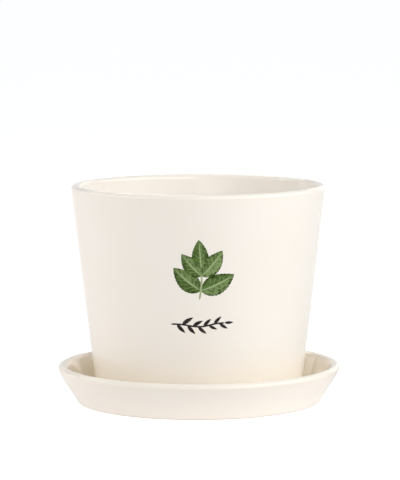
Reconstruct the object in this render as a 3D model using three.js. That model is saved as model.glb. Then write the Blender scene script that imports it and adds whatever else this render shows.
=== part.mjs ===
// An empty plant pot of cream glazed earthenware, standing in its own saucer.
//
// Millimetres, +Z up. The origin is the middle of the saucer's foot, on the surface that it
// stands on. Both pieces are turned shapes round the Z axis, and the pot's printed front faces -Y.

import * as THREE from "three";

// Pot. A straight wall flares from a foot ring to a rim with a fully rounded lip.
const POT_RIM_RADIUS = 70.2; // to the outer corner of the rim, before it is rounded
const POT_HEIGHT = 114.5;
const POT_WALL_SLOPE = 0.119; // outward run of the wall for each millimetre of height
const POT_LIP_WIDTH = 4.6;
const POT_LOWER_WALL = 5.2; // wall thickness at the inner floor, measured level
const POT_FLOOR_THICKNESS = 5;
const POT_LIP_ROUNDING = 2.2;
const POT_FOOT_ROUNDING = 1.6;
const POT_INNER_FILLET = 9;

// Foot ring under the pot, and the drain hole in the middle of its floor.
const POT_FOOT_RING_WIDTH = 6;
const POT_FOOT_RING_HEIGHT = 1.5;
const DRAIN_HOLE_RADIUS = 7;
const DRAIN_HOLE_ROUNDING = 1.2;

// Saucer. A low dish whose wall leans out further than the pot's and steepens at a soft shoulder.
// Its lip is fully rounded. Corners are given before they are rounded.
const SAUCER_FOOT_RADIUS = 66.8;
const SAUCER_SHOULDER_RADIUS = 75;
const SAUCER_SHOULDER_HEIGHT = 12.8;
const SAUCER_RIM_RADIUS = 79.2; // the lip's outer corner
const SAUCER_RIM_HEIGHT = 20.7;
const SAUCER_LIP_WIDTH = 6.1;
const SAUCER_INNER_SLOPE = 0.38; // inward run of the inner wall for each millimetre down
const SAUCER_FLOOR_HEIGHT = 5.5; // the pot stands on this floor
const SAUCER_FOOT_ROUNDING = 1.5;
const SAUCER_SHOULDER_ROUNDING = 60;
const SAUCER_OUTER_LIP_ROUNDING = 2.2;
const SAUCER_INNER_LIP_ROUNDING = 3.4;
const SAUCER_INNER_FILLET = 6;

// Foot ring under the saucer.
const SAUCER_FOOT_RING_WIDTH = 6;
const SAUCER_FOOT_RING_HEIGHT = 1.2;

// Small radii where a foot ring meets the recess inside it.
const RING_EDGE_ROUNDING = 0.8;
const RECESS_FILLET = 1;

// Fineness of the turned surfaces.
const TURN_STEPS = 96;
const ARC_TOLERANCE = 0.05; // how far an arc's chords may lie from the true arc

// Colours of the fired clay and its glaze.
const POT_GLAZE = { color: 0xf6eee2, roughness: 0.18, metalness: 0 };
const SAUCER_GLAZE = { color: 0xf5ecdf, roughness: 0.2, metalness: 0 };

// The arc that rounds the corner at `at`, between the points before and after it on the outline.
function roundedCorner(before, at, after, radius) {
  const back = before.clone().sub(at).normalize();
  const ahead = after.clone().sub(at).normalize();
  const halfAngle = Math.acos(back.dot(ahead)) / 2;
  const centre = back
    .clone()
    .add(ahead)
    .setLength(radius / Math.sin(halfAngle))
    .add(at);
  const tangentLength = radius / Math.tan(halfAngle);
  const start = back.multiplyScalar(tangentLength).add(at);
  const end = ahead.multiplyScalar(tangentLength).add(at);

  const startAngle = start.clone().sub(centre).angle();
  const sweep = Math.PI - 2 * halfAngle;
  const turnsLeft = start.clone().sub(centre).cross(end.clone().sub(centre)) > 0;
  const widestStep = 2 * Math.acos(1 - ARC_TOLERANCE / radius);
  const steps = Math.max(2, Math.ceil(sweep / widestStep));
  return Array.from({ length: steps + 1 }, (_, step) => {
    const angle = startAngle + ((turnsLeft ? sweep : -sweep) * step) / steps;
    return new THREE.Vector2(Math.cos(angle), Math.sin(angle)).multiplyScalar(radius).add(centre);
  });
}

// The outline through corners [radius from the axis, height, rounding]. A corner with no
// rounding stays sharp, and only the ends of an outline that starts on the axis are left so.
function outlineOf(corners) {
  const points = corners.map(([r, z]) => new THREE.Vector2(r, z));
  const count = corners.length;
  return corners.flatMap(([, , rounding], i) => {
    if (!rounding) return [points[i]];
    return roundedCorner(points[(i + count - 1) % count], points[i], points[(i + 1) % count], rounding);
  });
}

// Turns an outline, drawn upwards on the outside, round the Z axis.
function turned(outline) {
  return new THREE.LatheGeometry(outline, TURN_STEPS).rotateX(Math.PI / 2);
}

// The pot's section is a closed loop, because the drain hole keeps it off the axis.
function potGeometry() {
  const bottom = SAUCER_FLOOR_HEIGHT;
  const top = bottom + POT_HEIGHT;
  const recess = bottom + POT_FOOT_RING_HEIGHT;
  const floor = recess + POT_FLOOR_THICKNESS;
  const outerRadius = (z) => POT_RIM_RADIUS - POT_WALL_SLOPE * (top - z);
  const ringInnerRadius = outerRadius(bottom) - POT_FOOT_RING_WIDTH;

  const outline = outlineOf([
    [ringInnerRadius, bottom, RING_EDGE_ROUNDING],
    [outerRadius(bottom), bottom, POT_FOOT_ROUNDING],
    [outerRadius(top), top, POT_LIP_ROUNDING],
    [outerRadius(top) - POT_LIP_WIDTH, top, POT_LIP_ROUNDING],
    [outerRadius(floor) - POT_LOWER_WALL, floor, POT_INNER_FILLET],
    [DRAIN_HOLE_RADIUS, floor, DRAIN_HOLE_ROUNDING],
    [DRAIN_HOLE_RADIUS, recess, DRAIN_HOLE_ROUNDING],
    [ringInnerRadius, recess, RECESS_FILLET],
  ]);
  outline.push(outline[0].clone());
  return turned(outline);
}

// The saucer's section starts and ends on the axis.
function saucerGeometry() {
  const innerRimRadius = SAUCER_RIM_RADIUS - SAUCER_LIP_WIDTH;
  const floorRadius = innerRimRadius - SAUCER_INNER_SLOPE * (SAUCER_RIM_HEIGHT - SAUCER_FLOOR_HEIGHT);
  const ringInnerRadius = SAUCER_FOOT_RADIUS - SAUCER_FOOT_ROUNDING - SAUCER_FOOT_RING_WIDTH;

  return turned(
    outlineOf([
      [0, SAUCER_FOOT_RING_HEIGHT],
      [ringInnerRadius, SAUCER_FOOT_RING_HEIGHT, RECESS_FILLET],
      [ringInnerRadius, 0, RING_EDGE_ROUNDING],
      [SAUCER_FOOT_RADIUS, 0, SAUCER_FOOT_ROUNDING],
      [SAUCER_SHOULDER_RADIUS, SAUCER_SHOULDER_HEIGHT, SAUCER_SHOULDER_ROUNDING],
      [SAUCER_RIM_RADIUS, SAUCER_RIM_HEIGHT, SAUCER_OUTER_LIP_ROUNDING],
      [innerRimRadius, SAUCER_RIM_HEIGHT, SAUCER_INNER_LIP_ROUNDING],
      [floorRadius, SAUCER_FLOOR_HEIGHT, SAUCER_INNER_FILLET],
      [0, SAUCER_FLOOR_HEIGHT],
    ]),
  );
}

function namedMesh(name, geometry, glaze) {
  const mesh = new THREE.Mesh(geometry, new THREE.MeshStandardMaterial(glaze));
  mesh.name = name;
  return mesh;
}

const potAndSaucer = new THREE.Group();
potAndSaucer.add(namedMesh("pot", potGeometry(), POT_GLAZE));
potAndSaucer.add(namedMesh("saucer", saucerGeometry(), SAUCER_GLAZE));

export default potAndSaucer;
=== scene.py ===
"""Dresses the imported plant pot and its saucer: the glaze, the printed sprig and a plain pale studio.

Lengths are metres and +Z is up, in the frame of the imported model. The pot's printed front faces -Y.
"""

from __future__ import annotations

import logging
import math
from dataclasses import dataclass, field, fields
from enum import Enum

import bpy
from bpy.types import Material, Mesh, Node, NodeSocket, NodeTree, Object
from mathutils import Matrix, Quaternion, Vector

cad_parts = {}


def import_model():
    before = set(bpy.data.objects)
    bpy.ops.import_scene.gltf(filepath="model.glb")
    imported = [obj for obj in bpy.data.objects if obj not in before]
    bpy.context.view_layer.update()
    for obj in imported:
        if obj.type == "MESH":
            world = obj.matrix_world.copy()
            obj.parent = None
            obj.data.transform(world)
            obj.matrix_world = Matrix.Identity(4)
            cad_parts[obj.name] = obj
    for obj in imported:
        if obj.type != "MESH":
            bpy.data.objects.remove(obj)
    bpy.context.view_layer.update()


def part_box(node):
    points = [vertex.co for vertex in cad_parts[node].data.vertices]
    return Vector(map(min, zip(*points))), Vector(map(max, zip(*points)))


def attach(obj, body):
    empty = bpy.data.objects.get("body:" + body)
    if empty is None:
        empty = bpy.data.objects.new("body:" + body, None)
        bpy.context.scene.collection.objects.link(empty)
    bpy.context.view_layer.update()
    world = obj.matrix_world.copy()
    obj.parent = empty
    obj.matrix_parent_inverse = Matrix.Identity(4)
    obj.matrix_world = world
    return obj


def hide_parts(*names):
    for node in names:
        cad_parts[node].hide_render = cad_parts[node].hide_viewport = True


LOG = logging.getLogger("plant_pot")

MM = 0.001
BODY = "root"
UV_MAP = "UVMap"
MERGE_DISTANCE = 0.001 * MM

# Fineness of the turned surfaces.
TURN_STEPS = 256
ARC_STEP = math.radians(8)
LEAST_ARC_STEPS = 4
LONGEST_STEP = 3 * MM

# Where a Mix node keeps its share, its two colours and what comes out.
MIX_INPUTS = (0, 6, 7)
MIX_OUTPUT = 2

# Where a Random Value node keeps the two ends of its range, as numbers, and the number that it draws.
RANDOM_INPUTS = (2, 3)
RANDOM_OUTPUT = 1

Colour = tuple[float, float, float]
Feeds = dict[str | int, object]

WHITE: Colour = (1.0, 1.0, 1.0)


class GlazeFlow(Enum):
    """What the glaze does where it runs over a rounded corner."""

    EVEN = "even"
    THIN = "thin"
    # The hollows: pooled glaze, whose amber there is also painted shade.
    POOLED = "pooled"


# The flows that a turned piece's mesh keeps a mask of, each under its own name.
SHOWN_FLOWS = (GlazeFlow.THIN, GlazeFlow.POOLED)


class Field:
    """A number that changes over a surface, so that a formula made of nodes reads as a formula."""

    def __init__(self, graph: Graph, socket: NodeSocket) -> None:
        """Keeps the graph that the number belongs to, and the socket that gives it."""
        self.graph = graph
        self.socket = socket

    def __add__(self, other: object) -> Field:
        """Adds."""
        return self.graph.math("ADD", self, other)

    def __sub__(self, other: object) -> Field:
        """Subtracts."""
        return self.graph.math("SUBTRACT", self, other)

    def __rsub__(self, other: object) -> Field:
        """Subtracts this number from another."""
        return self.graph.math("SUBTRACT", other, self)

    def __mul__(self, other: object) -> Field:
        """Multiplies."""
        return self.graph.math("MULTIPLY", self, other)

    def __truediv__(self, other: object) -> Field:
        """Divides."""
        return self.graph.math("DIVIDE", self, other)

    def __pow__(self, other: object) -> Field:
        """Raises to a power."""
        return self.graph.math("POWER", self, other)

    def __neg__(self) -> Field:
        """Changes the sign."""
        return self.graph.math("MULTIPLY", self, -1.0)

    __radd__ = __add__
    __rmul__ = __mul__


@dataclass(frozen=True)
class Fade:
    """A smooth change from a start to an end, while something else goes from low to high."""

    low: float | Field
    high: float | Field
    start: float = 0.0
    end: float = 1.0


class Graph:
    """A node tree that is built by short calls."""

    def __init__(self, tree: NodeTree) -> None:
        """Starts on an existing tree."""
        self.tree = tree

    @classmethod
    def group(cls, kind: str, name: str, inputs: dict[str, str], outputs: dict[str, str]) -> Graph:
        """Makes a node group with named inputs and outputs.

        Args:
            kind: ShaderNodeTree or GeometryNodeTree.
            name: the group's name.
            inputs: each input's name and kind of socket, such as Float.
            outputs: each output's name and kind of socket.
        Returns:
            The new group's graph, with its inputs in given and its outputs in made.
        """
        graph = cls(bpy.data.node_groups.new(name, kind))
        for side, sockets in (("INPUT", inputs), ("OUTPUT", outputs)):
            for label, socket in sockets.items():
                graph.tree.interface.new_socket(name=label, in_out=side, socket_type=f"NodeSocket{socket}")
        graph.given = graph.add("NodeGroupInput").outputs
        graph.made = graph.add("NodeGroupOutput").inputs
        return graph

    def add(self, kind: str, feeds: Feeds | None = None, **options: object) -> Node:
        """Adds a node.

        Args:
            kind: Blender's name for the type of node.
            feeds: the value, socket or field for each named or numbered input.
            options: the node's own settings.
        Returns:
            The new node.
        """
        node = self.tree.nodes.new(kind)
        for name, value in options.items():
            setattr(node, name, value)
        self.feed_all(node, feeds or {})
        return node

    def output(self, kind: str, feeds: Feeds | None = None, **options: object) -> NodeSocket:
        """Adds a node, and gives its first output."""
        return self.add(kind, feeds, **options).outputs[0]

    def feed(self, socket: NodeSocket, value: object) -> None:
        """Sets or links an input.

        Args:
            socket: the input.
            value: a plain value, a socket or a field. A plain colour gets its alpha of 1 here.
        """
        if isinstance(value, Field):
            value = value.socket
        if isinstance(value, NodeSocket):
            self.tree.links.new(value, socket)
        elif socket.type == "RGBA":
            socket.default_value = (*value, 1.0)
        else:
            socket.default_value = value

    def feed_all(self, node: Node, feeds: Feeds) -> None:
        """Sets or links several inputs of a node, named or numbered."""
        for key, value in feeds.items():
            self.feed(node.inputs[key], value)

    def number(self, socket: NodeSocket) -> Field:
        """Makes a field of a socket."""
        return Field(self, socket)

    def given_number(self, label: str) -> Field:
        """Reads one of the group's inputs as a field."""
        return self.number(self.given[label])

    def math(self, operation: str, *terms: object) -> Field:
        """Does arithmetic on numbers and fields."""
        return self.number(self.output("ShaderNodeMath", dict(enumerate(terms)), operation=operation))

    def ease(self, value: object, fade: Fade) -> Field:
        """Follows a fade as a value goes from its low to its high, and stays at its ends beyond them."""
        node = self.add(
            "ShaderNodeMapRange",
            {
                "Value": value,
                "From Min": fade.low,
                "From Max": fade.high,
                "To Min": fade.start,
                "To Max": fade.end,
            },
            interpolation_type="SMOOTHSTEP",
        )
        return self.number(node.outputs["Result"])

    def vector(self, x: object, y: object, z: object) -> NodeSocket:
        """Joins three numbers into a vector."""
        return self.output("ShaderNodeCombineXYZ", {0: x, 1: y, 2: z})

    def split(self, vector: object) -> tuple[Field, Field, Field]:
        """Splits a vector into its three numbers."""
        outputs = self.add("ShaderNodeSeparateXYZ", {0: vector}).outputs
        return self.number(outputs[0]), self.number(outputs[1]), self.number(outputs[2])

    def noise(self, place: object, size: float, detail: float = 2.0) -> Field:
        """Gives noise from 0 to 1 whose patches are about a size across, in metres."""
        node = self.add("ShaderNodeTexNoise", {"Vector": place, "Scale": 1 / size, "Detail": detail})
        return self.number(node.outputs["Fac"])

    def sway(self, place: object, size: float, detail: float = 2.0) -> Field:
        """Gives the same noise, from half under 0 to half over it."""
        return self.noise(place, size, detail) - 0.5

    def mix(self, share: object, first: object, second: object) -> NodeSocket:
        """Mixes a share of a second colour into a first."""
        feeds = dict(zip(MIX_INPUTS, (share, first, second)))
        return self.add("ShaderNodeMix", feeds, data_type="RGBA", clamp_factor=True).outputs[MIX_OUTPUT]

    def attribute(self, name: str) -> Field:
        """Reads a number that a piece's mesh holds, in a material."""
        return self.number(self.add("ShaderNodeAttribute", attribute_name=name).outputs["Fac"])

    def place_on_piece(self) -> NodeSocket:
        """Gives the place of each point of a piece, in a material."""
        return self.add("ShaderNodeTexCoord").outputs["Object"]

    def bumped(self, height: object) -> NodeSocket:
        """Makes a normal of a height in millimetres."""
        return self.output("ShaderNodeBump", {"Distance": MM, "Height": height})

    def position(self) -> NodeSocket:
        """Gives the place of each point, in a tree that makes a mesh."""
        return self.output("GeometryNodeInputPosition")

    def held(self, name: str) -> Field:
        """Reads a number that a mesh holds at each point, in a tree that makes a mesh."""
        return self.number(self.output("GeometryNodeInputNamedAttribute", {"Name": name}, data_type="FLOAT"))

    def stored(self, mesh: object, name: str, value: object) -> NodeSocket:
        """Has a mesh hold a number at each point."""
        feeds = {"Geometry": mesh, "Name": name, "Value": value}
        return self.output("GeometryNodeStoreNamedAttribute", feeds, data_type="FLOAT", domain="POINT")

    def mapped(self, mesh: object, across: object, up: object) -> NodeSocket:
        """Has a mesh hold its UV map."""
        feeds = {"Geometry": mesh, "Name": UV_MAP, "Value": self.vector(across, up, 0.0)}
        return self.output("GeometryNodeStoreNamedAttribute", feeds, data_type="FLOAT2", domain="CORNER")

    def sheet(self, columns: object, rows: object) -> NodeSocket:
        """Makes a square grid of points, 1 metre across, to be bent to a shape afterwards."""
        feeds = {"Size X": 1.0, "Size Y": 1.0, "Vertices X": columns, "Vertices Y": rows}
        return self.output("GeometryNodeMeshGrid", feeds)

    def sheet_shares(self) -> tuple[Field, Field]:
        """Gives each point's shares of the way along a sheet's two sides."""
        x, y, _ = self.split(self.position())
        return x + 0.5, y + 0.5

    def merged(self, mesh: object) -> NodeSocket:
        """Closes a mesh where its points meet."""
        return self.output("GeometryNodeMergeByDistance", {"Geometry": mesh, "Distance": MERGE_DISTANCE})

    def finish(self, mesh: object, material: str, output: str) -> None:
        """Ends a tree: shades the mesh smooth, makes its instances real and gives it its material.

        Args:
            mesh: the mesh that the tree has made.
            material: the name of the input that gives its material.
            output: the name of the tree's output.
        """
        smooth = self.output("GeometryNodeSetShadeSmooth", {"Geometry": mesh})
        real = self.output("GeometryNodeRealizeInstances", {"Geometry": smooth})
        dressed = self.output("GeometryNodeSetMaterial", {"Geometry": real, "Material": self.given[material]})
        self.feed(self.made[output], dressed)


def put_in_scene(name: str, data: bpy.types.ID) -> Object:
    """Makes an object and puts it in the scene.

    Args:
        name: its name.
        data: its mesh, light or camera.
    Returns:
        The object.
    """
    made = bpy.data.objects.new(name, data)
    bpy.context.scene.collection.objects.link(made)
    return made


def chain(name: str, points: list[tuple[float, float, float]]) -> Mesh:
    """Joins points one after another by edges.

    Args:
        name: the mesh's name.
        points: the points, in order.
    Returns:
        The mesh, which has edges and no faces.
    """
    mesh = bpy.data.meshes.new(name)
    mesh.from_pydata(points, [(index, index + 1) for index in range(len(points) - 1)], [])
    return mesh


def stepped(points: list[Vector]) -> list[Vector]:
    """Divides the way through some points into short steps.

    Args:
        points: the points, in order.
    Returns:
        The points and the steps between them.
    """
    places = [points[0]]
    for point in points[1:]:
        start = places[-1]
        steps = max(1, math.ceil((point - start).length / LONGEST_STEP))
        places += [start.lerp(point, step / steps) for step in range(1, steps + 1)]
    return places


def nearness(along: float, spots: list[tuple[float, float]]) -> float:
    """Says how near a point of an outline is to the nearest of some spots.

    Args:
        along: the point's distance along the outline.
        spots: each spot's distance along it, and how far it reaches.
    Returns:
        A number that rises smoothly from 0 at a spot's reach to 1 on the spot.
    """
    shares = [max(0.0, 1 - abs(along - spot) / reach) for spot, reach in spots]
    share = max(shares, default=0.0)
    return share * share * (3 - 2 * share)


@dataclass(frozen=True)
class Corner:
    """One corner of a turned piece's outline: its place before it is rounded, and the glaze over it."""

    radius: float
    height: float
    rounding: float = 0.0
    flow: GlazeFlow = GlazeFlow.EVEN
    reach: float = 2.5 * MM  # how far past the rounding the glaze still shows it

    @property
    def place(self) -> Vector:
        """The corner in the plane of radius and height."""
        return Vector((self.radius, self.height))


@dataclass(frozen=True)
class TracedPoint:
    """A point of a finished outline, and how strongly each flow of the glaze shows there."""

    place: Vector
    flows: dict[GlazeFlow, float]


@dataclass(frozen=True)
class Outline:
    """The half section that a piece is turned from, with its outer side drawn upwards."""

    corners: tuple[Corner, ...]
    closed: bool = False

    def arc(self, index: int) -> list[Vector]:
        """Rounds one corner.

        Args:
            index: the corner's number.
        Returns:
            The points of its arc, or the sharp corner itself.
        """
        corner = self.corners[index]
        at = corner.place
        if not corner.rounding:
            return [at]
        back = (self.corners[index - 1].place - at).normalized()
        ahead = (self.corners[(index + 1) % len(self.corners)].place - at).normalized()
        half_angle = back.angle(ahead) / 2
        centre = at + (back + ahead).normalized() * (corner.rounding / math.sin(half_angle))
        tangent_length = corner.rounding / math.tan(half_angle)
        first_spoke = (at + back * tangent_length - centre).normalized()
        last_spoke = (at + ahead * tangent_length - centre).normalized()
        steps = max(LEAST_ARC_STEPS, math.ceil((math.pi - 2 * half_angle) / ARC_STEP))
        spokes = [first_spoke.slerp(last_spoke, step / steps) for step in range(steps + 1)]
        return [centre + spoke * corner.rounding for spoke in spokes]

    def traced(self) -> list[TracedPoint]:
        """Follows the whole outline in short steps.

        Returns:
            Its points, from the first corner to the last, or back to the first where it is closed.
        """
        arcs = [self.arc(index) for index in range(len(self.corners))]
        rough = [point for arc in arcs for point in arc]
        if self.closed:
            rough.append(rough[0].copy())
        places = stepped(rough)
        distances = [0.0]
        for place, last in zip(places[1:], places):
            distances.append(distances[-1] + (place - last).length)

        spots = {flow: [] for flow in GlazeFlow}
        for corner, arc in zip(self.corners, arcs):
            middle = arc[len(arc) // 2]
            at = min(range(len(places)), key=lambda index: (places[index] - middle).length)
            spots[corner.flow].append((distances[at], (arc[0] - arc[-1]).length / 2 + corner.reach))

        points = []
        for place, along in zip(places, distances):
            flows = {flow: nearness(along, spots[flow]) for flow in SHOWN_FLOWS}
            points.append(TracedPoint(place, flows))
        return points

    def mesh(self, name: str) -> Mesh:
        """Makes the outline a chain of edges that holds a mask for each flow.

        Args:
            name: the mesh's name.
        Returns:
            The mesh.
        """
        points = self.traced()
        mesh = chain(name, [(point.place.x, 0.0, point.place.y) for point in points])
        for flow in SHOWN_FLOWS:
            mask = mesh.attributes.new(flow.value, "FLOAT", "POINT")
            mask.data.foreach_set("value", [point.flows[flow] for point in points])
        return mesh


def grown(name: str, start: Mesh, tree: NodeTree, sizes: dict[str, object]) -> Object:
    """Runs a Geometry Nodes tree once and keeps what it makes as a plain mesh.

    Args:
        name: the piece's name.
        start: the mesh that the tree begins with.
        tree: the tree.
        sizes: the value of each of its named inputs.
    Returns:
        The finished piece, with no modifier left on it.
    """
    piece = put_in_scene(name, start)
    modifier = piece.modifiers.new(tree.name, "NODES")
    modifier.node_group = tree
    for label, value in sizes.items():
        modifier[tree.interface.items_tree[label].identifier] = value
    depsgraph = bpy.context.evaluated_depsgraph_get()
    mesh = bpy.data.meshes.new_from_object(piece.evaluated_get(depsgraph), depsgraph=depsgraph)
    piece.modifiers.clear()
    piece.data = mesh
    mesh.name = name
    bpy.data.meshes.remove(start)
    return piece


class TurnedWare:
    """Turns an outline round the Z axis into one closed, smooth body."""

    def __init__(self) -> None:
        """Builds the tree."""
        g = Graph.group(
            "GeometryNodeTree",
            "Turned ware",
            {"Outline": "Geometry", "Turn Steps": "Int", "Glaze": "Material"},
            {"Ware": "Geometry"},
        )
        self.tree = g.tree
        domain_size = g.add("GeometryNodeAttributeDomainSize", {0: g.given["Outline"]})
        count = g.number(domain_size.outputs["Point Count"])
        mesh = g.sheet(count, g.given_number("Turn Steps") + 1.0)
        along_share, turn_share = g.sheet_shares()
        index = g.math("ROUND", along_share * (count - 1.0))
        for flow in SHOWN_FLOWS:
            mesh = g.stored(mesh, flow.value, self.sampled(g, g.held(flow.value), index, "FLOAT"))
        mesh = g.mapped(mesh, turn_share, along_share)

        radius, _, height = g.split(self.sampled(g, g.position(), index, "FLOAT_VECTOR"))
        turn = turn_share * math.tau
        around = g.vector(radius * g.math("COSINE", turn), radius * g.math("SINE", turn), height)
        turned = g.output("GeometryNodeSetPosition", {"Geometry": mesh, "Position": around})
        g.finish(g.merged(turned), "Glaze", "Ware")

    @staticmethod
    def sampled(g: Graph, value: object, index: Field, kind: str) -> NodeSocket:
        """Reads a value at one point of the outline."""
        feeds = {"Geometry": g.given["Outline"], "Value": value, "Index": index}
        return g.output("GeometryNodeSampleIndex", feeds, data_type=kind, domain="POINT")

    def turn(self, name: str, outline: Outline, glaze: Material) -> Object:
        """Turns one piece from its half section and glazes it."""
        return grown(name, outline.mesh(name), self.tree, {"Turn Steps": TURN_STEPS, "Glaze": glaze})


@dataclass(frozen=True)
class Wall:
    """The pot's straight outer wall, which the print lies on."""

    foot_radius: float  # the wall's radius if it went straight on down to the floor
    slope: float  # outward run for each metre of height
    turn: float = math.radians(1.3)  # the print sits a little to the right of the front

    def sizes(self) -> dict[str, float]:
        """The inputs that every printing tree takes from the wall."""
        return {"Wall Radius": self.foot_radius, "Wall Slope": self.slope, "Wall Turn": self.turn}


WALL_INPUTS = {"Wall Radius": "Float", "Wall Slope": "Float", "Wall Turn": "Float"}


class LayOnWall:
    """A shared group that lays a flat drawing on the pot's wall: x goes round it, y up it and z out of it."""

    def __init__(self) -> None:
        """Builds the group."""
        inputs = {"Drawn": "Vector", **WALL_INPUTS}
        g = Graph.group("GeometryNodeTree", "Lay on wall", inputs, {"Laid": "Vector"})
        self.tree = g.tree
        across, up, out = g.split(g.given["Drawn"])
        slope = g.given_number("Wall Slope")
        radius = up * slope + g.given_number("Wall Radius")
        angle = across / radius + g.given_number("Wall Turn")
        tilt = g.math("ARCTANGENT", slope)
        reach = radius + out * g.math("COSINE", tilt)
        x = reach * g.math("SINE", angle)
        y = -(reach * g.math("COSINE", angle))
        height = up - out * g.math("SINE", tilt)
        g.feed(g.made["Laid"], g.vector(x, y, height))

    def lay(self, g: Graph, mesh: object, drawn: object) -> NodeSocket:
        """Moves a drawing's points onto the wall, inside another tree.

        Args:
            g: the tree that holds the drawing.
            mesh: the drawing.
            drawn: the place of each of its points on the flat.
        Returns:
            The drawing on the wall.
        """
        feeds = {"Drawn": drawn, **{label: g.given[label] for label in WALL_INPUTS}}
        laid = g.output("GeometryNodeGroup", feeds, node_tree=self.tree)
        return g.output("GeometryNodeSetPosition", {"Geometry": mesh, "Position": laid})


@dataclass(frozen=True)
class Line:
    """A smooth line on the flat drawing, through a start, a bend and an end."""

    start: tuple[float, float]
    bend: tuple[float, float]
    end: tuple[float, float]
    ripple: float = 0.0
    ripples: float = 0.0
    steps: int = 80

    def mesh(self, name: str) -> Mesh:
        """Makes the line a chain of edges.

        Args:
            name: the mesh's name.
        Returns:
            The mesh.
        """
        start, bend, end = Vector(self.start), Vector(self.bend), Vector(self.end)
        points = []
        for step in range(self.steps + 1):
            share = step / self.steps
            place = start.lerp(bend, share).lerp(bend.lerp(end, share), share)
            rise = self.ripple * math.sin(math.tau * self.ripples * share)
            points.append((place.x, place.y + rise, 0.0))
        return chain(name, points)


class PrintedStroke:
    """Draws a line on the wall as one closed, flattened stroke with soft ends."""

    sides = 12
    step = 0.25 * MM
    relief = 0.045 * MM
    end_share = 0.05  # how much of the line each soft end takes
    end_level = 0.02  # its square root is the share of the width that is left at the very end
    unevenness = 0.35  # how much the width wanders, as a share
    wander_size = 1.5 * MM

    def __init__(self, lay_on_wall: LayOnWall) -> None:
        """Builds the tree.

        Args:
            lay_on_wall: the group that it ends with.
        """
        sizes = {"Width": "Float", "End Share": "Float", "Unevenness": "Float", **WALL_INPUTS}
        inputs = {"Line": "Geometry", **sizes, "Ink": "Material"}
        g = Graph.group("GeometryNodeTree", "Printed stroke", inputs, {"Print": "Geometry"})
        self.tree = g.tree
        width = g.given_number("Width")
        curve = g.output("GeometryNodeMeshToCurve", {"Mesh": g.given["Line"]})
        fine = g.output("GeometryNodeResampleCurve", {"Curve": curve, "Length": self.step}, mode="LENGTH")

        along = g.number(g.add("GeometryNodeSplineParameter").outputs["Factor"])
        from_end = g.math("MINIMUM", along, 1.0 - along)
        soft_end = Fade(0.0, g.given_number("End Share"), self.end_level, 1.0)
        taper = g.math("SQRT", g.ease(from_end, soft_end))
        wander = g.given_number("Unevenness") * g.sway(g.position(), self.wander_size) + 1.0
        section = g.output(
            "GeometryNodeCurvePrimitiveCircle",
            {"Resolution": self.sides, "Radius": width * 0.5},
        )
        stroke = g.output(
            "GeometryNodeCurveToMesh",
            {"Curve": fine, "Profile Curve": section, "Scale": taper * wander, "Fill Caps": True},
        )
        x, y, z = g.split(g.position())
        flat = g.vector(x, y, z / width * (2 * self.relief))
        g.finish(lay_on_wall.lay(g, stroke, flat), "Ink", "Print")

    def draw(self, name: str, line: Line, wall: Wall, width: float, ink: Material) -> Object:
        """Draws one stroke along a line on the wall."""
        sizes = {"Width": width, "End Share": self.end_share, "Unevenness": self.unevenness}
        return grown(name, line.mesh(name), self.tree, {**sizes, **wall.sizes(), "Ink": ink})


def input_label(name: str) -> str:
    """Gives the name of a tree's input for a field, such as First At for first_at."""
    return name.replace("_", " ").title()


@dataclass(frozen=True)
class Leafing:
    """How leaves stand along a line: in pairs or by turns, with sizes that change from first to last."""

    leaves: int
    at_each_node: int
    first_at: float
    last_at: float
    first_length: float
    last_length: float
    first_spread: float
    last_spread: float
    tip_length: float
    width_share: float
    teeth: float
    tooth_depth: float
    curl: float
    unevenness: float
    seed: int

    def sizes(self) -> dict[str, object]:
        """The leafing's inputs to the tree that prints leaves."""
        return {input_label(part.name): getattr(self, part.name) for part in fields(self)}


# The kind of socket for each of the leafing's inputs, Int or Float, which is its field's type.
LEAFING_INPUTS = {input_label(part.name): part.type.title() for part in fields(Leafing)}


class Draw(Enum):
    """What a leaf's random number is drawn for."""

    LENGTH = 1.0
    HEADING = 2.0
    SHADE = 3.0


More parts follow.
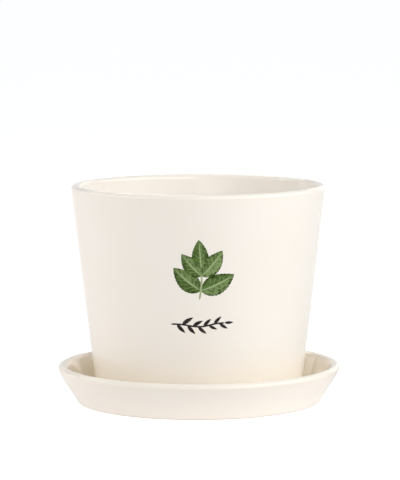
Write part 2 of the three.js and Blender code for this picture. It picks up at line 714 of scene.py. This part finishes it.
class PrintedLeaves:
    """Prints leaves along a line on the wall, each one a closed blade that stands out by a hair's breadth."""

    length_steps = 84
    section_steps = 20
    relief = 0.05 * MM
    stacking = 0.012 * MM  # each leaf lies this much above the one before
    lean = 0.78  # under 1, so a blade is widest nearer its stalk
    fullness = 0.82  # under 1, so a blade stays wide towards both its ends
    draws_for_seed = 10.0

    def __init__(self, lay_on_wall: LayOnWall) -> None:
        """Builds the tree.

        Args:
            lay_on_wall: the group that it ends with.
        """
        inputs = {"Line": "Geometry", **LEAFING_INPUTS, **WALL_INPUTS, "Ink": "Material"}
        g = Graph.group("GeometryNodeTree", "Printed leaves", inputs, {"Print": "Geometry"})
        self.tree = g.tree
        given = {label: g.given_number(label) for label in LEAFING_INPUTS}
        leaf = g.held("leaf")
        up, section_share = g.sheet_shares()
        section = section_share * math.tau

        mapped = g.mapped(self.blades(g, given["Leaves"]), up, g.math("COSINE", section) * 0.5 + 0.5)
        shaded = g.stored(mapped, "shade", self.chance(g, leaf, 0.0, 1.0, Draw.SHADE))
        laid = lay_on_wall.lay(g, shaded, self.drawn(g, given, leaf, up, section))
        g.finish(g.merged(laid), "Ink", "Print")

    def blades(self, g: Graph, leaves: Field) -> NodeSocket:
        """Makes one plain sheet for each leaf, numbered, to be shaped afterwards.

        Args:
            g: the tree.
            leaves: how many leaves stand along the line, besides the one at its tip.
        Returns:
            The sheets, all in one place.
        """
        sheet = g.sheet(self.length_steps + 1, self.section_steps + 1)
        points = g.output("GeometryNodeMeshLine", {"Count": leaves + 1.0, "Offset": (0.0, 0.0, 0.0)})
        numbered = g.stored(points, "leaf", g.output("GeometryNodeInputIndex"))
        placed = g.output("GeometryNodeInstanceOnPoints", {"Points": numbered, "Instance": sheet})
        return g.output("GeometryNodeRealizeInstances", {"Geometry": placed})

    def chance(self, g: Graph, leaf: Field, low: object, high: object, draw: Draw) -> Field:
        """Draws a random number for each leaf, the same every time.

        Args:
            g: the tree.
            leaf: the leaf's number.
            low: the least that it can be.
            high: the most.
            draw: what it is drawn for.
        Returns:
            The number.
        """
        seed = g.given_number("Seed") * self.draws_for_seed + draw.value
        feeds = {**dict(zip(RANDOM_INPUTS, (low, high))), "ID": leaf, "Seed": seed}
        return g.number(g.add("FunctionNodeRandomValue", feeds, data_type="FLOAT").outputs[RANDOM_OUTPUT])

    def drawn(self, g: Graph, given: dict[str, Field], leaf: Field, up: Field, section: Field) -> NodeSocket:
        """Shapes and places every leaf on the flat drawing.

        Args:
            g: the tree.
            given: its inputs for the leafing.
            leaf: the leaf's number.
            up: the point's share of the leaf's length, from stalk to tip.
            section: the point's angle round the leaf's thin section.
        Returns:
            The place of each point on the flat.
        """
        is_tip = g.math("GREATER_THAN", leaf + 0.5, given["Leaves"])
        node = g.math("FLOOR", (leaf + 0.5) / given["At Each Node"])
        last_node = g.math("CEIL", given["Leaves"] / given["At Each Node"]) - 1.0
        share = g.math("MINIMUM", node / last_node, 1.0)
        side = 1.0 - 2.0 * g.math("MODULO", leaf, 2.0)
        uneven = given["Unevenness"]

        def from_first_to_last(what: str) -> Field:
            """Goes from the first leaf's value to the last leaf's."""
            return given[f"First {what}"] * (1.0 - share) + given[f"Last {what}"] * share

        stretch = self.chance(g, leaf, -uneven, uneven, Draw.LENGTH) + 1.0
        length = (from_first_to_last("Length") * (1.0 - is_tip) + given["Tip Length"] * is_tip) * stretch
        swing = self.chance(g, leaf, -uneven, uneven, Draw.HEADING)
        spread = (side * from_first_to_last("Spread") + swing) * (1.0 - is_tip)
        at = from_first_to_last("At") * (1.0 - is_tip) + is_tip

        line = g.output("GeometryNodeMeshToCurve", {"Mesh": g.given["Line"]})
        feeds = {"Curves": line, "Factor": at}
        spot = g.add("GeometryNodeSampleCurve", feeds, mode="FACTOR", use_all_curves=True)
        tangent_x, tangent_y, _ = g.split(spot.outputs["Tangent"])
        heading = g.math("ARCTAN2", tangent_x, tangent_y) + spread

        belly = g.math("SINE", up**self.lean * math.pi) ** self.fullness
        tooth = g.math("FRACT", up * given["Teeth"]) * given["Tooth Depth"] - given["Tooth Depth"] + 1.0
        half_width = length * given["Width Share"] * 0.5 * belly * tooth
        bend = side * given["Curl"] * (1.0 - is_tip)
        sideways = half_width * g.math("COSINE", section)
        x = sideways - bend * length * up * up * 0.5
        y = length * up + sideways * bend * up
        out = g.math("SINE", section) * (belly * self.relief) + leaf * self.stacking
        turned = g.output(
            "ShaderNodeVectorRotate",
            {"Vector": g.vector(x, y, out), "Angle": -heading},
            rotation_type="Z_AXIS",
        )
        return g.output("ShaderNodeVectorMath", {0: turned, 1: spot.outputs["Position"]}, operation="ADD")

    def print(self, name: str, line: Line, leafing: Leafing, wall: Wall, ink: Material) -> Object:
        """Prints the leaves that stand along a line on the wall."""
        return grown(name, line.mesh(name), self.tree, {**leafing.sizes(), **wall.sizes(), "Ink": ink})


class SharedGroup:
    """A shader node group that more than one material uses."""

    tree: NodeTree

    def use(self, g: Graph, feeds: Feeds) -> Node:
        """Places the group in a material with its own values."""
        return g.add("ShaderNodeGroup", feeds, node_tree=self.tree)


class GlazeSurface(SharedGroup):
    """The gloss of the glaze, its faint ripple and its few pinholes, whose heights are millimetres."""

    smudge_size = 16 * MM
    swell_size = 22 * MM
    peel_size = 1.6 * MM
    peel_share = 0.02  # how high the fine peel is beside the swell
    pinhole_spacing = 7 * MM
    pinhole = Fade(0.015, 0.05, -0.03, 0.0)  # its height, by the distance from its middle over the spacing

    def __init__(self) -> None:
        """Builds the group."""
        g = Graph.group(
            "ShaderNodeTree",
            "Glaze surface",
            {"Place": "Vector", "Gloss": "Float", "Smudges": "Float", "Ripple": "Float", "Pinholes": "Float"},
            {"Roughness": "Float", "Height": "Float"},
        )
        self.tree = g.tree
        place = g.given["Place"]
        ripple = g.given_number("Ripple")
        smudge = g.sway(place, self.smudge_size, detail=4.0)
        g.feed(g.made["Roughness"], smudge * g.given_number("Smudges") + g.given_number("Gloss"))

        swell = g.sway(place, self.swell_size, detail=1.0) * ripple
        peel = g.sway(place, self.peel_size, detail=1.0) * ripple * self.peel_share
        cells = g.add("ShaderNodeTexVoronoi", {"Vector": place, "Scale": 1 / self.pinhole_spacing})
        chosen = g.output("ShaderNodeSeparateColor", {0: cells.outputs["Color"]})
        is_pinhole = g.math("LESS_THAN", chosen, g.given_number("Pinholes"))
        pit = g.ease(cells.outputs["Distance"], self.pinhole) * is_pinhole
        g.feed(g.made["Height"], swell + peel + pit)


class GlazeColour(SharedGroup):
    """The clay seen through the glaze, a little warmer where it thins, and amber in the hollows, which is
    pooled glaze and also painted shade for the warm shade that falls there.
    """

    cloud_size = 30 * MM
    cloud = Fade(0.35, 0.65)
    grain_size = 2.2 * MM
    grain = Fade(0.3, 0.7)
    grain_share = 0.5  # how strong the grain is beside the clouds
    thin_share = 0.4  # how much of the warm colour shows where the glaze is thinnest

    def __init__(self) -> None:
        """Builds the group."""
        colours = {"Clay": "Color", "Warm": "Color", "Pale": "Color", "Amber": "Color"}
        masks = {"Mottle": "Float", "Thin": "Float", "Pooled": "Float"}
        inputs = {"Place": "Vector", **colours, **masks}
        g = Graph.group("ShaderNodeTree", "Glaze colour", inputs, {"Colour": "Color"})
        self.tree = g.tree
        place = g.given["Place"]
        mottle = g.given_number("Mottle")
        cloud = g.ease(g.noise(place, self.cloud_size, detail=3.0), self.cloud) * mottle
        clouded = g.mix(cloud, g.given["Clay"], g.given["Warm"])
        grain = g.ease(g.noise(place, self.grain_size, detail=3.0), self.grain) * mottle * self.grain_share
        grained = g.mix(grain, clouded, g.given["Pale"])
        thinned = g.mix(g.given_number("Thin") * self.thin_share, grained, g.given["Warm"])
        # Painted shade: the amber in the hollows is pooled glaze and also the warm shade that falls there.
        g.feed(g.made["Colour"], g.mix(g.given["Pooled"], thinned, g.given["Amber"]))


class BareFoot(SharedGroup):
    """Where the foot is wiped clean of glaze, up to an uneven line."""

    waver_size = 5 * MM
    waver = 0.25 * MM
    edge = Fade(-0.06 * MM, 0.06 * MM, 1.0, 0.0)  # how bare the clay is, by the height over the line
    grit_size = 0.5 * MM

    def __init__(self) -> None:
        """Builds the group."""
        g = Graph.group(
            "ShaderNodeTree",
            "Bare foot",
            {"Place": "Vector", "Glaze Line": "Float"},
            {"Bare": "Float", "Grit": "Float"},
        )
        self.tree = g.tree
        place = g.given["Place"]
        _, _, height = g.split(place)
        line = g.given_number("Glaze Line") + g.sway(place, self.waver_size) * self.waver
        g.feed(g.made["Bare"], g.ease(height - line, self.edge))
        g.feed(g.made["Grit"], g.noise(place, self.grit_size, detail=3.0))


@dataclass(frozen=True)
class Finishes:
    """The node groups that more than one finish uses."""

    surface: GlazeSurface = field(default_factory=GlazeSurface)
    colour: GlazeColour = field(default_factory=GlazeColour)
    foot: BareFoot = field(default_factory=BareFoot)


def new_material(name: str) -> tuple[Material, Graph, Node]:
    """Makes a material.

    Args:
        name: its name.
    Returns:
        The material, its graph and its Principled shader.
    """
    material = bpy.data.materials.new(name)
    material.use_nodes = True
    return material, Graph(material.node_tree), material.node_tree.nodes["Principled BSDF"]


@dataclass(frozen=True)
class Glaze:
    """A clear glossy glaze over cream clay, wiped off the foot."""

    name: str
    glaze_line: float  # height below which the foot is bare
    clay: Colour = (0.92, 0.86, 0.776)
    warm: Colour = (0.905, 0.825, 0.71)
    pale: Colour = (0.93, 0.88, 0.81)
    # The amber of the pooled glaze in the hollows, which also paints the warm shade there.
    amber: Colour = (0.87, 0.76, 0.57)
    bare: Colour = (0.76, 0.66, 0.52)
    mottle: float = 0.22
    gloss: float = 0.06
    smudges: float = 0.05
    ripple: float = 0.06
    pinholes: float = 0.05
    bare_roughness: float = 0.82
    bare_depth: float = 0.06  # millimetres that the bare clay lies below the glaze
    grit_height: float = 0.03  # millimetres

    def material(self, finishes: Finishes) -> Material:
        """Builds the glaze's material.

        Args:
            finishes: the shared node groups.
        Returns:
            The material.
        """
        material, g, shader = new_material(self.name)
        place = g.place_on_piece()
        surface = finishes.surface.use(
            g,
            {
                "Place": place,
                "Gloss": self.gloss,
                "Smudges": self.smudges,
                "Ripple": self.ripple,
                "Pinholes": self.pinholes,
            },
        )
        colour = finishes.colour.use(
            g,
            {
                "Place": place,
                "Clay": self.clay,
                "Warm": self.warm,
                "Pale": self.pale,
                "Amber": self.amber,
                "Mottle": self.mottle,
                "Thin": g.attribute(GlazeFlow.THIN.value),
                # The hollows, where the amber paints pooled glaze and shade.
                "Pooled": g.attribute(GlazeFlow.POOLED.value),
            },
        )
        foot = finishes.foot.use(g, {"Place": place, "Glaze Line": self.glaze_line})
        bare = g.number(foot.outputs["Bare"])
        grit = g.number(foot.outputs["Grit"])

        glossy = g.number(surface.outputs["Roughness"]) * (1.0 - bare)
        height = g.number(surface.outputs["Height"]) + bare * (grit * self.grit_height - self.bare_depth)
        g.feed_all(
            shader,
            {
                "Base Color": g.mix(bare, colour.outputs["Colour"], self.bare),
                "Roughness": glossy + bare * self.bare_roughness,
                "Normal": g.bumped(height),
            },
        )
        return material


@dataclass(frozen=True)
class PrintColour:
    """A printed colour, a little duller than the glaze that it lies on."""

    name: str
    gloss: float = 0.3
    smudges: float = 0.06
    ripple: float = 0.08
    shine: float = 0.14

    def dress(self, g: Graph, shader: Node, finishes: Finishes, colour: object) -> None:
        """Gives a printed material its colour and its dull gloss.

        Args:
            g: the material's graph.
            shader: its Principled shader.
            finishes: the shared node groups.
            colour: its colour, as it changes over the print.
        """
        surface = finishes.surface.use(
            g,
            {
                "Place": g.place_on_piece(),
                "Gloss": self.gloss,
                "Smudges": self.smudges,
                "Ripple": self.ripple,
                "Pinholes": 0.0,
            },
        )
        g.feed_all(
            shader,
            {
                "Base Color": colour,
                "Roughness": surface.outputs["Roughness"],
                "Normal": g.bumped(surface.outputs["Height"]),
                "Specular IOR Level": self.shine,
            },
        )


@dataclass(frozen=True)
class LeafGreen(PrintColour):
    """The green of the printed leaves, with a pale rib, side veins and darker patches between them.

    A fade across goes from 0 at the rib to 1 at the blade's edge, and one along from its stalk to its tip.
    """

    name: str = "leaf_print"
    deep: Colour = (0.026, 0.05, 0.004)
    green: Colour = (0.09, 0.155, 0.034)
    light: Colour = (0.22, 0.31, 0.115)
    vein: Colour = (0.36, 0.46, 0.22)
    shade_share: float = 0.4  # how much lighter one leaf can be than another
    lit_half: Fade = Fade(-0.15, 0.15, 0.0, 0.6)  # how much lighter one half of the blade is
    patch_size: float = 1.6 * MM
    patch: Fade = Fade(0.4, 0.6)
    patches_across: Fade = Fade(0.1, 0.9, 0.4, 0.95)
    rib_across: Fade = Fade(0.03, 0.13, 0.9, 0.0)
    rib_along: Fade = Fade(0.75, 1.0, 1.0, 0.2)
    side_veins: float = 7.0
    vein_lean: float = 1.6
    side_vein: Fade = Fade(0.0, 0.11, 0.6, 0.0)  # by the distance from its middle over their spacing
    side_vein_across: Fade = Fade(0.35, 0.95, 1.0, 0.0)
    edge_across: Fade = Fade(0.88, 1.0, 0.0, 0.7)

    def material(self, finishes: Finishes) -> Material:
        """Builds the leaves' material.

        Args:
            finishes: the shared node groups.
        Returns:
            The material.
        """
        material, g, shader = new_material(self.name)
        up, across, _ = g.split(g.output("ShaderNodeUVMap", uv_map=UV_MAP))
        offset = across * 2.0 - 1.0
        from_rib = g.math("ABSOLUTE", offset)

        lighter = g.attribute("shade") * self.shade_share + g.ease(offset, self.lit_half)
        body = g.mix(lighter, self.green, self.light)
        patch = g.ease(g.noise(g.place_on_piece(), self.patch_size, detail=3.0), self.patch)
        patched = g.mix(patch * g.ease(from_rib, self.patches_across), body, self.deep)

        rank = up * self.side_veins - from_rib * self.vein_lean
        from_side_vein = g.math("ABSOLUTE", g.math("FRACT", rank) - 0.5)
        side_vein = g.ease(from_side_vein, self.side_vein) * g.ease(from_rib, self.side_vein_across)
        rib = g.ease(from_rib, self.rib_across) * g.ease(up, self.rib_along)
        veined = g.mix(g.math("MAXIMUM", side_vein, rib), patched, self.vein)
        edged = g.mix(g.ease(from_rib, self.edge_across), veined, self.deep)
        self.dress(g, shader, finishes, edged)
        return material


@dataclass(frozen=True)
class PlainInk(PrintColour):
    """One printed colour, laid down a little unevenly."""

    name: str = "line_print"
    ink: Colour = (0.022, 0.017, 0.015)
    faded: Colour = (0.06, 0.048, 0.042)
    wear_size: float = 1.4 * MM
    wear: Fade = Fade(0.4, 0.75)

    def material(self, finishes: Finishes) -> Material:
        """Builds the ink's material.

        Args:
            finishes: the shared node groups.
        Returns:
            The material.
        """
        material, g, shader = new_material(self.name)
        wear = g.ease(g.noise(g.place_on_piece(), self.wear_size, detail=3.0), self.wear)
        self.dress(g, shader, finishes, g.mix(wear, self.ink, self.faded))
        return material


@dataclass(frozen=True)
class Pot:
    """The pot: a straight flaring wall, a rounded lip, and a floor with a drain hole and a foot ring."""

    bottom: float
    top: float
    rim_radius: float = 70.2 * MM  # to the outer corner, before it is rounded
    wall_slope: float = 0.119  # outward run for each metre of height
    lip_width: float = 4.6 * MM
    lower_wall: float = 5.2 * MM
    floor_thickness: float = 5 * MM
    lip_rounding: float = 2.2 * MM
    foot_rounding: float = 1.6 * MM
    inner_fillet: float = 9 * MM
    pool_and_shade_reach: float = 14 * MM  # how far the pooled glaze, and the painted shade with it, reaches up the wall and over the floor
    ring_width: float = 6 * MM
    ring_height: float = 1.5 * MM
    ring_edge: float = 0.8 * MM
    recess_fillet: float = 1 * MM
    drain_radius: float = 7 * MM
    drain_rounding: float = 1.2 * MM
    bare_height: float = 0.5 * MM

    @classmethod
    def from_frame(cls) -> Pot:
        """Takes the pot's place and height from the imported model."""
        low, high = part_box("pot")
        return cls(bottom=low.z, top=high.z)

    def outer_radius(self, height: float) -> float:
        """The straight wall's outer radius at a height."""
        return self.rim_radius - self.wall_slope * (self.top - height)

    def wall(self) -> Wall:
        """The wall that the print lies on."""
        return Wall(self.outer_radius(0.0), self.wall_slope)

    def outline(self) -> Outline:
        """Draws the pot's section.

        Returns:
            The section, closed because the drain hole keeps it off the axis.
        """
        recess = self.bottom + self.ring_height
        floor = recess + self.floor_thickness
        rim = self.outer_radius(self.top)
        foot = self.outer_radius(self.bottom)
        floor_radius = self.outer_radius(floor) - self.lower_wall
        return Outline(
            corners=(
                Corner(foot - self.ring_width, self.bottom, self.ring_edge),
                Corner(foot, self.bottom, self.foot_rounding),
                Corner(rim, self.top, self.lip_rounding, GlazeFlow.THIN),
                Corner(rim - self.lip_width, self.top, self.lip_rounding, GlazeFlow.THIN),
                Corner(floor_radius, floor, self.inner_fillet, GlazeFlow.POOLED, self.pool_and_shade_reach),
                Corner(self.drain_radius, floor, self.drain_rounding, GlazeFlow.THIN),
                Corner(self.drain_radius, recess, self.drain_rounding, GlazeFlow.THIN),
                Corner(foot - self.ring_width, recess, self.recess_fillet, GlazeFlow.POOLED),
            ),
            closed=True,
        )

    def build(self, ware: TurnedWare, finishes: Finishes) -> Object:
        """Turns and glazes the pot."""
        glaze = Glaze("pot_glaze", glaze_line=self.bottom + self.bare_height).material(finishes)
        return ware.turn("glazed_pot", self.outline(), glaze)


@dataclass(frozen=True)
class Saucer:
    """The saucer: a flat floor, a wall that leans far out, a fully rounded lip and a foot ring.

    Its corners are given before they are rounded.
    """

    floor_height: float
    foot_radius: float = 66.8 * MM
    shoulder_radius: float = 75 * MM
    shoulder_height: float = 12.8 * MM
    rim_radius: float = 79.2 * MM  # the lip's outer corner
    rim_height: float = 20.7 * MM
    lip_width: float = 6.1 * MM
    inner_slope: float = 0.38  # inward run of the inner wall for each metre down
    foot_rounding: float = 1.5 * MM
    shoulder_rounding: float = 60 * MM
    outer_lip_rounding: float = 2.2 * MM
    inner_lip_rounding: float = 3.4 * MM
    inner_fillet: float = 6 * MM
    pool_and_shade_reach: float = 24 * MM  # how far the pooled glaze, and the painted shade with it, reaches up the wall and over the floor
    ring_width: float = 6 * MM
    ring_height: float = 1.2 * MM
    ring_edge: float = 0.8 * MM
    recess_fillet: float = 1 * MM
    bare_height: float = 0.45 * MM

    @classmethod
    def from_frame(cls) -> Saucer:
        """Takes the height of the saucer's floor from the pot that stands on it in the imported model."""
        return cls(floor_height=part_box("pot")[0].z)

    def outline(self) -> Outline:
        """Draws the saucer's section.

        Returns:
            The section, from the axis under the saucer to the axis on its floor.
        """
        inner_rim = self.rim_radius - self.lip_width
        floor_radius = inner_rim - self.inner_slope * (self.rim_height - self.floor_height)
        ring_inside = self.foot_radius - self.foot_rounding - self.ring_width
        return Outline(
            corners=(
                Corner(0.0, self.ring_height),
                Corner(ring_inside, self.ring_height, self.recess_fillet, GlazeFlow.POOLED),
                Corner(ring_inside, 0.0, self.ring_edge),
                Corner(self.foot_radius, 0.0, self.foot_rounding),
                Corner(self.shoulder_radius, self.shoulder_height, self.shoulder_rounding),
                Corner(self.rim_radius, self.rim_height, self.outer_lip_rounding, GlazeFlow.THIN),
                Corner(inner_rim, self.rim_height, self.inner_lip_rounding, GlazeFlow.THIN),
                Corner(floor_radius, self.floor_height, self.inner_fillet, GlazeFlow.POOLED, self.pool_and_shade_reach),
                Corner(0.0, self.floor_height),
            )
        )

    def build(self, ware: TurnedWare, finishes: Finishes) -> Object:
        """Turns and glazes the saucer."""
        glaze = Glaze("saucer_glaze", glaze_line=self.bare_height).material(finishes)
        return ware.turn("glazed_saucer", self.outline(), glaze)


@dataclass(frozen=True)
class Press:
    """What a motif is printed with: two trees, the wall that it goes on and the shared node groups."""

    stroke: PrintedStroke
    leaves: PrintedLeaves
    wall: Wall
    finishes: Finishes


@dataclass(frozen=True)
class Sprig:
    """The printed herb sprig: a pale stem with opposite pairs of green leaves and one at its tip."""

    stem: Line = Line(start=(-1.0 * MM, 64 * MM), bend=(0.7 * MM, 72 * MM), end=(0.0, 80.4 * MM))
    stem_width: float = 1.0 * MM
    stem_ink: PlainInk = PlainInk("stem_print", ink=(0.42, 0.47, 0.27), faded=(0.3, 0.38, 0.17))
    leafing: Leafing = Leafing(
        leaves=4,
        at_each_node=2,
        first_at=0.3,
        last_at=0.78,
        first_length=19.4 * MM,
        last_length=16.4 * MM,
        first_spread=math.radians(68),
        last_spread=math.radians(50),
        tip_length=15 * MM,
        width_share=0.58,
        teeth=11.0,
        tooth_depth=0.09,
        curl=0.3,
        unevenness=0.06,
        seed=4,
    )
    leaf_ink: LeafGreen = LeafGreen()

    def build(self, press: Press) -> tuple[Object, Object]:
        """Prints the sprig on the wall.

        Args:
            press: what it is printed with.
        Returns:
            The stem and the leaves.
        """
        pale = self.stem_ink.material(press.finishes)
        green = self.leaf_ink.material(press.finishes)
        stem = press.stroke.draw("sprig_stem_print", self.stem, press.wall, self.stem_width, pale)
        leaves = press.leaves.print("sprig_leaves_print", self.stem, self.leafing, press.wall, green)
        return stem, leaves


@dataclass(frozen=True)
class Twig:
    """The dark twig drawn under the sprig, with small leaves on its two sides by turns."""

    line: Line = Line(
        start=(-16.4 * MM, 50.6 * MM),
        bend=(0.0, 48.6 * MM),
        end=(12.6 * MM, 51.2 * MM),
        ripple=0.45 * MM,
        ripples=1.5,
    )
    line_width: float = 0.9 * MM
    leafing: Leafing = Leafing(
        leaves=9,
        at_each_node=1,
        first_at=0.12,
        last_at=0.9,
        first_length=6.6 * MM,
        last_length=5 * MM,
        first_spread=math.radians(50),
        last_spread=math.radians(44),
        tip_length=4.8 * MM,
        width_share=0.32,
        teeth=1.0,
        tooth_depth=0.0,
        curl=0.3,
        unevenness=0.1,
        seed=9,
    )
    ink: PlainInk = PlainInk()

    def build(self, press: Press) -> tuple[Object, Object]:
        """Prints the twig on the wall.

        Args:
            press: what it is printed with.
        Returns:
            The line and its leaves.
        """
        dark = self.ink.material(press.finishes)
        line = press.stroke.draw("twig_line_print", self.line, press.wall, self.line_width, dark)
        leaves = press.leaves.print("twig_leaves_print", self.line, self.leafing, press.wall, dark)
        return line, leaves


@dataclass(frozen=True)
class SoftBox:
    """A soft panel of light that faces the pot. Azimuth grows from the front, -Y, towards the right, +X."""

    name: str
    azimuth: float  # degrees
    elevation: float  # degrees
    width: float
    height: float
    glow: Colour  # how bright its face is, where a white page in full light is 1
    distance: float = 1.5

    def build(self, target: Vector) -> None:
        """Hangs the light.

        Args:
            target: the point that it faces.
        """
        light = bpy.data.lights.new(self.name, "AREA")
        light.shape = "RECTANGLE"
        light.size = self.width
        light.size_y = self.height
        light.color = self.glow
        # At pi watts for each square metre, a white panel's face is as bright as that page.
        light.energy = math.pi * self.width * self.height
        lamp = put_in_scene(self.name, light)
        around, up = math.radians(self.azimuth), math.radians(self.elevation)
        towards = Vector((math.sin(around) * math.cos(up), -math.cos(around) * math.cos(up), math.sin(up)))
        lamp.location = target + towards * self.distance
        lamp.rotation_euler = towards.to_track_quat("Z", "Y").to_euler()
        lamp.visible_camera = False


@dataclass(frozen=True)
class FloorGlow:
    """How brightly the floor glows: under the saucer, around it, and straight to each of its four sides."""

    under: float = 0.55
    around: float = 0.39
    front: float = 0.15
    left: float = 0.71
    right: float = 0.14
    back: float = 0.7
    outside: Fade = Fade(80 * MM, 120 * MM)  # from under the saucer to around it, by distance from the axis
    sharpness: float = 4.0  # the power that keeps each side's glow to its side

    def over(self, g: Graph) -> Field:
        """Gives the glow at each point of the floor.

        Args:
            g: the graph of the floor's material.
        Returns:
            The glow.
        """
        x, y, _ = g.split(g.output("ShaderNodeNewGeometry"))
        distance = (x * x + y * y) ** 0.5
        glow = self.around
        for offset, level in ((-y, self.front), (-x, self.left), (x, self.right), (y, self.back)):
            share = g.math("MAXIMUM", offset / distance, 0.0) ** self.sharpness
            glow = share * (level - self.around) + glow
        outside = g.ease(distance, self.outside)
        return outside * glow + (1.0 - outside) * self.under


@dataclass(frozen=True)
class Studio:
    """A plain pale floor, soft lights and a camera at the photograph's angle."""

    target: Vector = field(default_factory=lambda: Vector((0.0, 0.0, 0.06)))
    floor_half_width: float = 15.0
    floor_colour: Colour = (0.35, 0.35, 0.35)
    floor_roughness: float = 0.9
    floor_glow: FloorGlow = FloorGlow()
    floor_tint: Colour = (1.05, 1.0, 0.98)
    floor_seen_glow: float = 0.84
    surround: Colour = (0.415, 0.435, 0.47)
    boxes: tuple[SoftBox, ...] = (
        SoftBox("low_front_left_box", -15, 7.5, 0.8, 0.395, (1.21, 1.21, 1.2)),
        SoftBox("left_box", -45, 22.5, 0.74, 0.395, (1.43, 1.42, 1.4)),
        SoftBox("front_right_box", 15, 22.5, 0.74, 0.395, (3.81, 3.84, 3.88)),
        SoftBox("right_box", 45, 22.5, 0.74, 0.395, (5.86, 5.92, 5.98)),
        SoftBox("far_right_box", 75, 22.5, 0.74, 0.395, (6.11, 6.17, 6.22)),
        SoftBox("right_back_box", 105, 22.5, 0.74, 0.395, (1.9, 1.92, 1.93)),
        SoftBox("far_left_box", -75, 22.5, 0.74, 0.395, (3.28, 3.26, 3.23)),
        SoftBox("left_back_box", -105, 22.5, 0.74, 0.395, (2.81, 2.8, 2.79)),
        SoftBox("left_backdrop", 154.5, 15, 0.804, 0.804, (0.86, 0.8, 0.77)),
        SoftBox("right_backdrop", -152, 7.5, 0.825, 0.395, (0.42, 0.36, 0.35)),
        SoftBox("right_backdrop_strip", -126, 7.5, 0.313, 0.395, (1.12, 1.11, 1.13)),
        SoftBox("back_box", 181.25, 15, 0.576, 0.804, (0.37, 0.36, 0.32)),
        SoftBox("high_back_box", -165, 45, 0.57, 0.8, (2.12, 2.11, 2.08)),
    )
    camera_place: tuple[float, float, float] = (0.9 * MM, -1.498, 247.3 * MM)
    camera_aim: tuple[float, float, float] = (0.9 * MM, 0.0, 89.05 * MM)
    camera_roll: float = math.radians(0.2)  # clockwise, seen from behind the camera
    camera_reach: float = 100.0
    frame_height_mm: float = 36.0
    lens_mm: float = 204.9

    def floor(self) -> None:
        """Lays the floor, a table of frosted glass lit from below, which the camera sees as white."""
        reach = self.floor_half_width
        corners = [(-reach, -reach, 0), (reach, -reach, 0), (reach, reach, 0), (-reach, reach, 0)]
        mesh = bpy.data.meshes.new("floor")
        mesh.from_pydata(corners, [], [(0, 1, 2, 3)])
        floor = put_in_scene("floor", mesh)
        material, g, shader = new_material("floor_board")
        seen = g.number(g.add("ShaderNodeLightPath").outputs["Is Camera Ray"])
        unseen_glow = (1.0 - seen) * self.floor_glow.over(g)
        g.feed_all(
            shader,
            {
                "Base Color": self.floor_colour,
                "Roughness": self.floor_roughness,
                "Specular IOR Level": 0.0,
                "Emission Color": g.mix(seen, self.floor_tint, WHITE),
                "Emission Strength": unseen_glow + seen * self.floor_seen_glow,
            },
        )
        mesh.materials.append(material)

    def world(self) -> None:
        """Makes the surroundings, which the camera sees as white and which light the pot as a soft grey."""
        world = bpy.data.worlds.new("surroundings")
        world.use_nodes = True
        bpy.context.scene.world = world
        g = Graph(world.node_tree)
        seen = g.add("ShaderNodeLightPath").outputs["Is Camera Ray"]
        g.feed_all(world.node_tree.nodes["Background"], {"Color": g.mix(seen, self.surround, WHITE)})

    def camera(self) -> None:
        """Sets the camera where the photograph was taken from."""
        lens = bpy.data.cameras.new("camera")
        lens.sensor_fit = "VERTICAL"
        lens.sensor_height = self.frame_height_mm
        lens.lens = self.lens_mm
        lens.clip_end = self.camera_reach
        camera = put_in_scene("camera", lens)
        camera.location = self.camera_place
        away = Vector(self.camera_place) - Vector(self.camera_aim)
        level = away.to_track_quat("Z", "Y")
        camera.rotation_euler = (level @ Quaternion((0, 0, 1), -self.camera_roll)).to_euler()
        bpy.context.scene.camera = camera

    def build(self) -> None:
        """Sets up the whole studio."""
        self.camera()
        self.floor()
        self.world()
        for box in self.boxes:
            box.build(self.target)
        bpy.context.scene.view_settings.view_transform = "Standard"


def take_up(piece: Object, slot: str, *nodes: str) -> None:
    """Makes a piece ride on the body, and says which nodes it stands for and which finish it takes.

    Args:
        piece: the finished piece.
        slot: the record's material slot.
        nodes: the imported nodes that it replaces.
    """
    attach(piece, BODY)
    if nodes:
        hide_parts(*nodes)
    LOG.info("%s: %d faces, slot %s, replaces %s", piece.name, len(piece.data.polygons), slot, list(nodes))


def main() -> None:
    """Builds the studio, the pot, the saucer and the print."""
    logging.basicConfig(level=logging.INFO, format="%(name)s: %(message)s")
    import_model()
    Studio().build()

    finishes = Finishes()
    ware = TurnedWare()
    pot = Pot.from_frame()
    take_up(pot.build(ware, finishes), "pot_glaze", "pot")
    take_up(Saucer.from_frame().build(ware, finishes), "saucer_glaze", "saucer")

    lay_on_wall = LayOnWall()
    press = Press(PrintedStroke(lay_on_wall), PrintedLeaves(lay_on_wall), pot.wall(), finishes)
    stem, sprig_leaves = Sprig().build(press)
    take_up(stem, "stem_print")
    take_up(sprig_leaves, "leaf_print")
    for piece in Twig().build(press):
        take_up(piece, "line_print")


if __name__ == "__main__":
    main()
